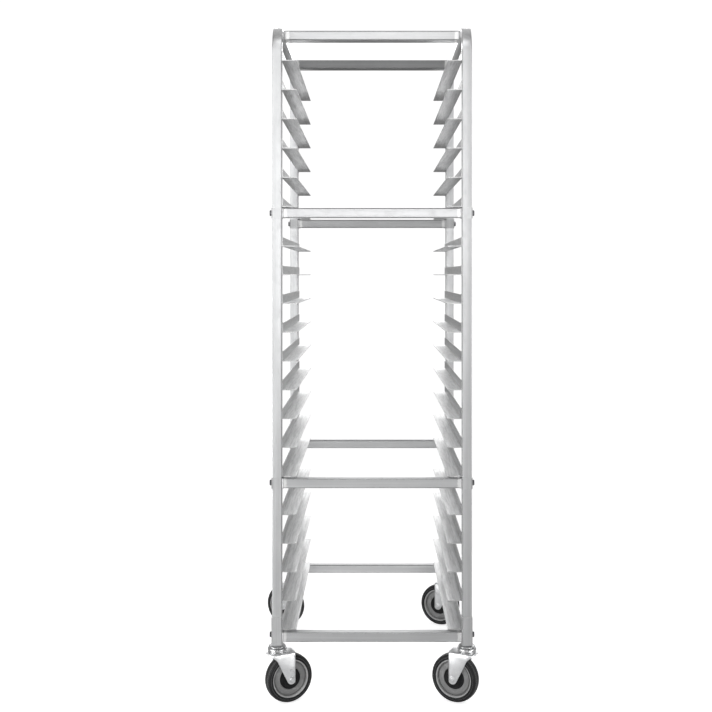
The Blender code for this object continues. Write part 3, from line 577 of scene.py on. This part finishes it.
# ---- welds -----------------------------------------------------------------------------------
def add_bead(bm, path, outward, width, height, closed):
    """Weld bead along a path: a low rippled mound, width across the seam and height proud of it.

    outward(point) is the direction the mound stands in at that point.
    """
    legs = list(zip(path, path[1:] + path[:1])) if closed else list(zip(path, path[1:]))
    length = sum((Vector(b) - Vector(a)).length for a, b in legs)
    rings = max(6, int(length / (RIPPLE / 4)))
    loops = []
    for k in range(rings if closed else rings + 1):
        distance = length * k / rings
        walked = 0.0
        for a, b in legs:
            leg = (Vector(b) - Vector(a)).length
            if walked + leg >= distance - 1e-9:
                break
            walked += leg
        t = min(1.0, (distance - walked) / leg)
        point = Vector(a).lerp(Vector(b), t)
        along = (Vector(b) - Vector(a)).normalized()
        up = outward(point)
        across = along.cross(up).normalized()
        ripple = (1.0 + RIPPLE_DEPTH * math.cos(2 * math.pi * distance / RIPPLE)
                  + dice.uniform(-RIPPLE_SCATTER, RIPPLE_SCATTER))
        end_taper = 1.0
        if not closed:
            end_taper = min(1.0, 0.25 + min(k, rings - k) / 5.0)
        loop = []
        for side in range(BEAD_SIDES):
            angle = 2 * math.pi * side / BEAD_SIDES
            offset = (across * math.cos(angle) * width / 2
                      + up * math.sin(angle) * height) * ripple * end_taper
            corner = point + offset
            corner.z = min(corner.z, BEAD_CEILING)
            loop.append(corner)
        loops.append(loop)
    add_loft(bm, loops, closed_loft=closed, capped=not closed)


def ring_round(centre, half_a, half_b, radius, axis_a, axis_b):
    """Rounded rectangle of points about a centre, in the plane of two axes."""
    points = []
    for sign_a, sign_b, start in ((1, 1, 0), (-1, 1, 90), (-1, -1, 180), (1, -1, 270)):
        for a, b in arc(sign_a * (half_a - radius), sign_b * (half_b - radius), radius, start,
                        90, 4):
            points.append(centre + axis_a * a + axis_b * b)
    return points


def away_from(centre, axis):
    """Direction away from a member's centre line, for beads that go round it."""
    def direction(point):
        arm = point - centre
        arm -= axis * arm.dot(axis)
        square = max(abs(component) for component in arm)
        return Vector([c if abs(c) > square * 0.8 else 0.0 for c in arm]).normalized()
    return direction


def hoop_loops(centre_x, half, corner):
    """Square rings along a bent hoop, from the front post's lower end to the rear one's."""
    spring = RACK_TOP - HALF_TUBE - BEND_RADIUS
    path = [(-POST_Y, UPPER_SPLIT, 0.0)]
    for step in range(BEND_STEPS + 1):
        angle = math.pi / 2 * step / BEND_STEPS
        path.append((-POST_Y + BEND_RADIUS * (1 - math.cos(angle)),
                     spring + BEND_RADIUS * math.sin(angle), angle))
    path += [(-y, z, math.pi - angle) for y, z, angle in reversed(path)]
    loops = []
    for y, z, angle in path:
        inward = Vector((0, math.cos(angle), -math.sin(angle)))
        loops.append(ring_round(Vector((centre_x, y, z)), half, half, corner, AXIS_X, inward))
    return loops


def upright_loops(centre_x, centre_y, stations):
    loops = []
    for z, half, corner in stations:
        centre = Vector((centre_x, centre_y, z))
        loops.append(ring_round(centre, half, half, corner, AXIS_X, AXIS_Y))
    return loops


def post_stations(section):
    """(height, half width, corner radius) up the outside of a straight post, down its bore."""
    bore, bore_corner = HALF_TUBE - TUBE_WALL, TUBE_CORNER - TUBE_WALL
    if section == "lower":
        return [(POST_FOOT, HALF_TUBE, TUBE_CORNER), (LOWER_SPLIT, HALF_TUBE, TUBE_CORNER),
                (LOWER_SPLIT, bore, bore_corner), (POST_FOOT, bore, bore_corner)]
    low, high = LOWER_SPLIT + GAP, UPPER_SPLIT - GAP
    return [
        (low - SPIGOT_REACH, SPIGOT_HALF, SPIGOT_CORNER),
        (low, SPIGOT_HALF, SPIGOT_CORNER),
        (low, HALF_TUBE, TUBE_CORNER), (high, HALF_TUBE, TUBE_CORNER),
        (high, SPIGOT_HALF, SPIGOT_CORNER),
        (high + SPIGOT_REACH, SPIGOT_HALF, SPIGOT_CORNER),
        (high + SPIGOT_REACH, SPIGOT_BORE, bore_corner),
        (high - SPIGOT_GRIP, SPIGOT_BORE, bore_corner), (high - SPIGOT_GRIP, bore, bore_corner),
        (low + SPIGOT_GRIP, bore, bore_corner), (low + SPIGOT_GRIP, SPIGOT_BORE, bore_corner),
        (low - SPIGOT_REACH, SPIGOT_BORE, bore_corner),
    ]


def runner_outline(side, ledge):
    """Angle seen from the end: upright leg against the posts, ledge reaching in."""
    inner = POST_X - HALF_TUBE
    outline = [
        (inner + GAP, ledge), (inner + GAP, ledge + FLANGE),
        (inner - SHEET_ANGLE, ledge + FLANGE), (inner - SHEET_ANGLE, ledge + SHEET_ANGLE),
        (inner - LEDGE, ledge + SHEET_ANGLE), (inner - LEDGE, ledge),
    ]
    return [(side * x, z) for x, z in softened(outline, RUNNER_EDGE)]


def make_ladder(side_name, side, section):
    """Smoothly bent posts and round-edged runners in place of one CAD ladder."""
    node = f"{side_name}_{section}_ladder"
    if section == "upper_hoop":
        bore = hoop_loops(side * POST_X, HALF_TUBE - TUBE_WALL, TUBE_CORNER - TUBE_WALL)
        posts = {"hoop": hoop_loops(side * POST_X, HALF_TUBE, TUBE_CORNER) + bore[::-1]}
    else:
        posts = {f"{end_name}_post": upright_loops(side * POST_X, end * POST_Y,
                                                   post_stations(section))
                 for end_name, end in ENDS.items()}
    pieces = {}
    for kind, loops in posts.items():
        bm = bmesh.new()
        add_loft(bm, loops, closed_loft=True)
        name = f"{side_name}_{section.removesuffix('_hoop')}_{kind}"
        pieces[name] = add_piece(name, bm, LADDER_METAL, "rack", "aluminium", crease=50,
                                 stands_for=[node])
    count, top, pitch = TIERS[section]
    bm = bmesh.new()
    for tier in range(count):
        outline = runner_outline(side, top - tier * pitch)
        add_loft(bm, [[(x, y, z) for x, z in outline] for y in (-RUNNER_HALF, RUNNER_HALF)])
    name = f"{side_name}_{section.removesuffix('_hoop')}_runners"
    pieces[name] = add_piece(name, bm, LADDER_METAL, "rack", "aluminium", crease=50,
                             stands_for=[node])
    return pieces


def weld_bars():
    """Fillet welds where crossbars meet their collars and the top bars meet the hoops."""
    for name in NODES:
        if not name.endswith("_crossbar"):
            continue
        low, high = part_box(name)
        top_bar = name.startswith("top_")
        if top_bar:
            centre_y = (low.y + high.y) / 2
            half_y, half_z = (high.y - low.y) / 2, (high.z - low.z) / 2
            centre_z = (low.z + high.z) / 2
            seam = high.x
        else:
            centre_y = math.copysign(POST_Y, low.y)
            half_y = half_z = HALF_TUBE
            bar_low = low.z + FOOT_BAR_RISE.get(name, COLLAR_BAR_RISE)
            centre_z = bar_low + HALF_TUBE
            seam = POST_X - COLLAR_HALF
        bm = bmesh.new()
        for side in SIDES.values():
            centre = Vector((side * (seam - SEAM_INSET), centre_y, centre_z))
            path = ring_round(centre, half_y, half_z, TUBE_CORNER, AXIS_Y, AXIS_Z)
            add_bead(bm, path, away_from(centre, AXIS_X), 4.2 * MM, 1.0 * MM, closed=True)
        add_piece(f"{name}_welds", bm, WELD_METAL, "rack", "aluminium", crease=60)


def weld_sleeves():
    """A bead round each post on the top of its leg sleeve."""
    bm = bmesh.new()
    sleeve_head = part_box("lower_front_crossbar")[1].z
    for side in SIDES.values():
        for end in ENDS.values():
            centre = Vector((side * POST_X, end * POST_Y, sleeve_head + GAP))
            path = ring_round(centre, HALF_TUBE, HALF_TUBE, TUBE_CORNER, AXIS_X, AXIS_Y)
            add_bead(bm, path, away_from(centre, AXIS_Z), 2.4 * MM, 1.3 * MM, closed=True)
    add_piece("leg_sleeve_welds", bm, WELD_METAL, "rack", "aluminium", crease=60)


def weld_runners():
    """Stitch welds above the flange and below the ledge of every runner, on both posts."""
    inner = POST_X - HALF_TUBE
    for side_name, side in SIDES.items():
        for section, (count, top, pitch) in TIERS.items():
            bm = bmesh.new()
            for tier in range(count):
                ledge = top - tier * pitch
                for end in ENDS.values():
                    for z, lift in ((ledge, -1), (ledge + FLANGE, 1)):
                        half = (STITCH_HALF + dice.uniform(-STITCH_SCATTER, STITCH_SCATTER)) * MM
                        middle = end * (POST_Y - WELD_SINK)
                        seat = Vector((side * (inner - WELD_SINK), 0, z + lift * 0.4 * MM))
                        path = [seat + AXIS_Y * (middle - half), seat + AXIS_Y * (middle + half)]
                        up = Vector((-side, 0, lift)).normalized()
                        add_bead(bm, path, lambda point: up, 2.6 * MM, 1.1 * MM, closed=False)
            add_piece(f"{side_name}_{section}_runner_welds", bm, WELD_METAL, "rack", "aluminium",
                      crease=60)


ladder_pieces = {}
for side_name, side in SIDES.items():
    for section in TIERS:
        ladder_pieces.update(make_ladder(side_name, side, section))
weld_bars()
weld_sleeves()
weld_runners()


# ---- casters ---------------------------------------------------------------------------------
def cheek_loop(x, half):
    """Outline of the bent sheet, outside and back along its inside, at one place on the trail."""
    loop = []
    for inset, direction in ((0.0, 1), (FORK_SHEET, -1)):
        cheek, top, bend = half - inset, CROWN_TOP - inset, CHEEK_BEND - inset
        points = [(cheek, FORK_FOOT)]
        for sign, start in ((1, 0), (-1, 90)):
            points += arc(sign * (cheek - bend), top - bend, bend, start, 90, 8)
        points.append((-cheek, FORK_FOOT))
        loop += [(x, a, b) for a, b in points[::direction]]
    return loop


def fork_template():
    """Pressed fork with rounded bends and edges, in the caster's own frame: +X is the trail."""
    bm = bmesh.new()
    add_loft(bm, [cheek_loop(x, half) for x, half in in_mm(FORK_PLAN)])
    fork = add_object("fork", mesh_from(bm, "fork"))

    eye = arc(FORK_TRAIL, WHEEL_RADIUS, FORK_EYE, 206, 154, 18)
    outline = in_mm(FORK_NOSE) + eye + in_mm(FORK_TAIL)
    side = bmesh.new()
    add_loft(side, [[(a, y, b) for a, b in outline] for y in (-0.030, 0.030)])
    boolean(fork, side, "INTERSECT")

    bevel = fork.modifiers.new("edges", "BEVEL")
    bevel.width = FORK_EDGE
    bevel.segments = 2
    bevel.limit_method = "ANGLE"
    bevel.angle_limit = math.radians(50)
    mesh = applied_mesh(fork)
    bpy.data.objects.remove(fork)
    return mesh


def hex_ring(across_flats, z, segments=48, chamfer=0.0):
    """Ring of points round a hexagon, evenly spread, so that it lofts to a circle."""
    ring = []
    for i in range(segments):
        angle = 2 * math.pi * i / segments
        within = (angle % (math.pi / 3)) - math.pi / 6
        radius = across_flats / 2 / math.cos(within)
        if chamfer:
            radius = min(radius, chamfer)
        ring.append((radius * math.cos(angle), radius * math.sin(angle), z))
    return ring


def round_ring(radius, z, segments=48):
    return [(radius * math.cos(2 * math.pi * i / segments),
             radius * math.sin(2 * math.pi * i / segments), z) for i in range(segments)]


def caster_places(corner):
    """A caster's heading, the matrix of its own frame and the matrix of its axle."""
    pivot = Vector(JOINTS[f"{corner}_swivel"]["pos_m"])
    pivot.z = 0
    axle = Vector(JOINTS[f"{corner}_wheel_spin"]["pos_m"])
    trail = axle - pivot
    heading = math.atan2(trail.y, trail.x)
    turn = Matrix.Rotation(heading, 4, "Z")
    across = Matrix.Rotation(-math.pi / 2, 4, "X")
    return heading, Matrix.Translation(pivot) @ turn, Matrix.Translation(axle) @ turn @ across


def head_side(corner, axle_matrix):
    """Which end of the axle has the head: the one away from the CAD's nut."""
    nut_low, nut_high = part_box(f"{corner}_axle_nut")
    nut_arm = (nut_low + nut_high) / 2 - axle_matrix.translation
    return -1 if nut_arm.dot(axle_matrix.to_3x3() @ AXIS_Z) > 0 else 1


def make_race(corner, matrix):
    low = CROWN_TOP + GAP
    ball_ring = arc(19.6, 7.9, 5.5, -56, 140, 12)
    race = [(r, low + z) for r, z in in_mm([*RACE_FOOT, *ball_ring, RACE_HEAD])]
    return add_piece(f"{corner}_race_housing", turned(race, 96, True), CHROME, f"{corner}_fork",
                     "chrome", matrix, 50, [f"{corner}_swivel_race"])


def make_stem(corner, matrix, heading):
    """Kingpin and cap, with the square stem on them turned back to lie square in its post."""
    bm = turned(softened(in_mm(CAP_OUTLINE), 0.4 * MM, closed=False), 96, False)
    turn_back = Matrix.Rotation(-heading, 3, "Z")
    square = [ring_round(Vector((0, 0, z * MM)), STEM_HALF, STEM_HALF, STEM_CORNER, AXIS_X, AXIS_Y)
              for z in STEM_ENDS]
    add_loft(bm, [[turn_back @ point for point in loop] for loop in square])
    return add_piece(f"{corner}_stem_and_cap", bm, PAINTED_SHADE_CAP_ZINC, "rack", "zinc_plate", matrix, 40,
                     [f"{corner}_caster_stem"])


def make_axle(corner, matrix):
    """Button-head axle screw and, on its other end, a flanged hexagon nut."""
    head = head_side(corner, matrix)

    def along_axle(loops):
        return [[(x, y, z * head) for x, y, z in loop] for loop in loops]

    bm = bmesh.new()
    loops = [round_ring(AXLE_RADIUS, -AXLE_SEAT - AXLE_TAIL), round_ring(AXLE_RADIUS, AXLE_SEAT)]
    loops += [round_ring(radius, AXLE_SEAT + z) for radius, z in in_mm(AXLE_HEAD)]
    add_loft(bm, along_axle(loops))
    add_piece(f"{corner}_axle_screw", bm, ZINC, f"{corner}_fork", "zinc_plate", matrix, 40,
              [f"{corner}_axle_bolt"])

    bm = bmesh.new()
    loops = [round_ring(8.0 * MM, -AXLE_SEAT), round_ring(8.0 * MM, -AXLE_SEAT - 1.0 * MM),
             hex_ring(NUT_FLATS, -AXLE_SEAT - 1.05 * MM, chamfer=7.0 * MM),
             hex_ring(NUT_FLATS, -AXLE_SEAT - 1.6 * MM),
             hex_ring(NUT_FLATS, -AXLE_SEAT - 5.3 * MM),
             hex_ring(NUT_FLATS, -AXLE_SEAT - 6.0 * MM, chamfer=6.9 * MM),
             round_ring(4.4 * MM, -AXLE_SEAT - 6.0 * MM), round_ring(4.4 * MM, -AXLE_SEAT)]
    add_loft(bm, along_axle(loops), closed_loft=True)
    add_piece(f"{corner}_lock_nut", bm, ZINC, f"{corner}_fork", "zinc_plate", matrix, 35,
              [f"{corner}_axle_nut"])


def make_wheel(corner, matrix):
    """Grooved tyre, a raised light ring on each side, recessed web and black hub."""
    body = f"{corner}_wheel"
    add_piece(f"{corner}_rubber_tyre", turned(mirrored(in_mm(TYRE)), 128, True), RUBBER, body,
              "tyre_rubber", matrix, 50, [f"{corner}_tyre"])
    for sign, letter in ((1, "a"), (-1, "b")):
        ring = [(r, sign * z) for r, z in in_mm(RIM_RING)]
        add_piece(f"{corner}_rim_ring_{letter}", turned(softened(ring, 0.35 * MM), 128, True),
                  RIM_LIGHT, body, "wheel_core_plastic", matrix, 50)
    web = softened(mirrored(in_mm(WHEEL_WEB)), 0.5 * MM)
    add_piece(f"{corner}_wheel_web", turned(web, 128, True), WEB_GREY, body, "wheel_core_plastic",
              matrix, 50, [f"{corner}_wheel_core"])
    hub = softened(mirrored(in_mm(HUB)), 0.5 * MM)
    add_piece(f"{corner}_hub_boss", turned(hub, 96, True), HUB_BLACK, body, "hub_plastic", matrix,
              45, [f"{corner}_wheel_hub"])


def make_caster(corner, fork_mesh):
    """All the pieces of one caster; returns those the high rear light is flagged off."""
    heading, swivel_matrix, axle_matrix = caster_places(corner)
    fork = place_piece(f"{corner}_pressed_fork", fork_mesh.copy(), ZINC, f"{corner}_fork",
                       "zinc_plate", swivel_matrix, 40, [f"{corner}_caster_fork"])
    race = make_race(corner, swivel_matrix)
    stem = make_stem(corner, swivel_matrix, heading)
    make_axle(corner, axle_matrix)
    make_wheel(corner, axle_matrix)
    return [fork, race, stem]


pressed_fork = fork_template()
crowns = []
for corner_name in CORNERS:
    crowns += make_caster(corner_name, pressed_fork)


# ---- stage -----------------------------------------------------------------------------------
def stage_material():
    s = Shader("pale_floor")
    s.bump(s.noise((30.0, 30.0, 30.0)), 0.02, 0.001)
    path = s.tree.nodes.new("ShaderNodeLightPath")
    s.surface.inputs["Emission Color"].default_value = (1.0, 1.0, 1.0, 1.0)
    s.wire(s.math("MULTIPLY", path.outputs["Is Camera Ray"], FLOOR_LIFT),
           s.surface.inputs["Emission Strength"])
    return s.finish((0.93, 0.93, 0.93, 1.0), 0.8, 0.0)


def make_floor():
    bm = bmesh.new()
    bmesh.ops.create_circle(bm, cap_ends=True, radius=FLOOR_RADIUS, segments=96)
    mesh = mesh_from(bm, "floor")
    mesh.materials.append(stage_material())
    floor = add_object("floor", mesh)
    return floor


def make_world():
    """White behind the rack for the camera; soft lobes of light from each direction."""
    world = bpy.data.worlds.new("studio")
    bpy.context.scene.world = world
    world.use_nodes = True
    tree = world.node_tree
    sky = tree.nodes["Background"]
    sky.inputs["Color"].default_value = (1, 1, 1, 1)
    coordinates = tree.nodes.new("ShaderNodeTexCoord")
    total = None
    for name, direction, start, full, strength in SKY_LOBES:
        lean = tree.nodes.new("ShaderNodeVectorMath")
        lean.operation = "DOT_PRODUCT"
        lean.inputs[1].default_value = Vector(direction).normalized()
        tree.links.new(coordinates.outputs["Generated"], lean.inputs[0])
        lobe = tree.nodes.new("ShaderNodeMapRange")
        lobe.name = name
        lobe.interpolation_type = "SMOOTHSTEP"
        for socket, number in zip(lobe.inputs[1:5], (start, full, 0.0, strength)):
            socket.default_value = number
        tree.links.new(lean.outputs["Value"], lobe.inputs[0])
        if total is None:
            total = lobe.outputs[0]
        else:
            add = tree.nodes.new("ShaderNodeMath")
            tree.links.new(total, add.inputs[0])
            tree.links.new(lobe.outputs[0], add.inputs[1])
            total = add.outputs[0]
    tree.links.new(total, sky.inputs["Strength"])
    backdrop = tree.nodes.new("ShaderNodeBackground")
    backdrop.name = "backdrop"
    backdrop.inputs["Color"].default_value = (1, 1, 1, 1)
    backdrop.inputs["Strength"].default_value = 1.05
    path = tree.nodes.new("ShaderNodeLightPath")
    mix = tree.nodes.new("ShaderNodeMixShader")
    tree.links.new(path.outputs["Is Camera Ray"], mix.inputs[0])
    tree.links.new(sky.outputs[0], mix.inputs[1])
    tree.links.new(backdrop.outputs[0], mix.inputs[2])
    tree.links.new(mix.outputs[0], tree.nodes["World Output"].inputs["Surface"])


def add_light(name, kind, location, target, energy, **settings):
    light = bpy.data.lights.new(name, kind)
    light.energy = energy
    for key, value in settings.items():
        setattr(light, key, value)
    lamp = add_object(name, light)
    lamp.location = location
    lamp.visible_camera = False
    aim = Vector(target) - Vector(location)
    lamp.rotation_euler = aim.to_track_quat("-Z", "Y").to_euler()
    return lamp


def flag(name, objects, state):
    """Collection that lights can be limited to (INCLUDE) or flagged off (EXCLUDE)."""
    collection = bpy.data.collections.new(name)
    for obj in objects:
        collection.objects.link(obj)
    for entry in collection.collection_objects:
        entry.light_linking.link_state = state
    return collection


def ladder_group(start, *ends):
    """The ladders' pieces whose names start and end so."""
    return [ladder_pieces[name] for name in ladder_pieces
            if name.startswith(start) and name.endswith(ends)]


floor = make_floor()
make_world()
bars = [NODES[name] for name in NODES if name.endswith("_crossbar")]
left_posts = ladder_group("left", "_post", "_hoop")
right_posts = ladder_group("right", "_post", "_hoop")
upper_runners = ladder_group("", "_upper_runners")
forks_only = flag("forks", crowns, "INCLUDE")
left_posts_only = flag("left_posts", left_posts, "INCLUDE")
shaded = flag("shaded_from_front_lights",
              [NODES["top_rear_crossbar"], NODES["upper_middle_rear_crossbar"]], "EXCLUDE")
LINKS = {
    "camera_card": shaded,
    "top_front_strip": shaded,
    "high_rear_softbox": flag("shaded_from_rear_light", crowns + bars + upper_runners + [floor],
                              "EXCLUDE"),
    "high_rear_runner_fill": flag("upper_runners", upper_runners, "INCLUDE"),
    "hoop_top_card": flag("hoops", ladder_group("", "_hoop"), "INCLUDE"),
    "left_post_card": left_posts_only,
    "rear_post_card": flag("rear_posts", ladder_group("", "_rear_post"), "INCLUDE"),
    "rear_foot_card": flag("rear_foot_bar", [NODES["lower_rear_crossbar"]], "INCLUDE"),
    "left_fork_card": forks_only,
    "right_fork_card": forks_only,
    "left_edge_strip": left_posts_only,
    "right_edge_strip": flag("right_posts", right_posts, "INCLUDE"),
}
for name, place, target, energy, width, height in SOFTBOXES:
    lamp = add_light(name, "AREA", place, target, energy, shape="RECTANGLE", size=width,
                     size_y=height)
    if name in LINKS:
        lamp.light_linking.receiver_collection = LINKS[name]

camera_data = bpy.data.cameras.new("camera")
camera_data.lens = 55.2
camera_data.sensor_width = 36.0
camera_data.shift_x = -0.0225
camera_data.shift_y = -0.1147
camera = add_object("camera", camera_data)
camera.location = (0.0, -3.171, 1.121)
camera.rotation_euler = (math.pi / 2, 0, 0)
bpy.context.scene.camera = camera
bpy.context.scene.view_settings.view_transform = "Standard"
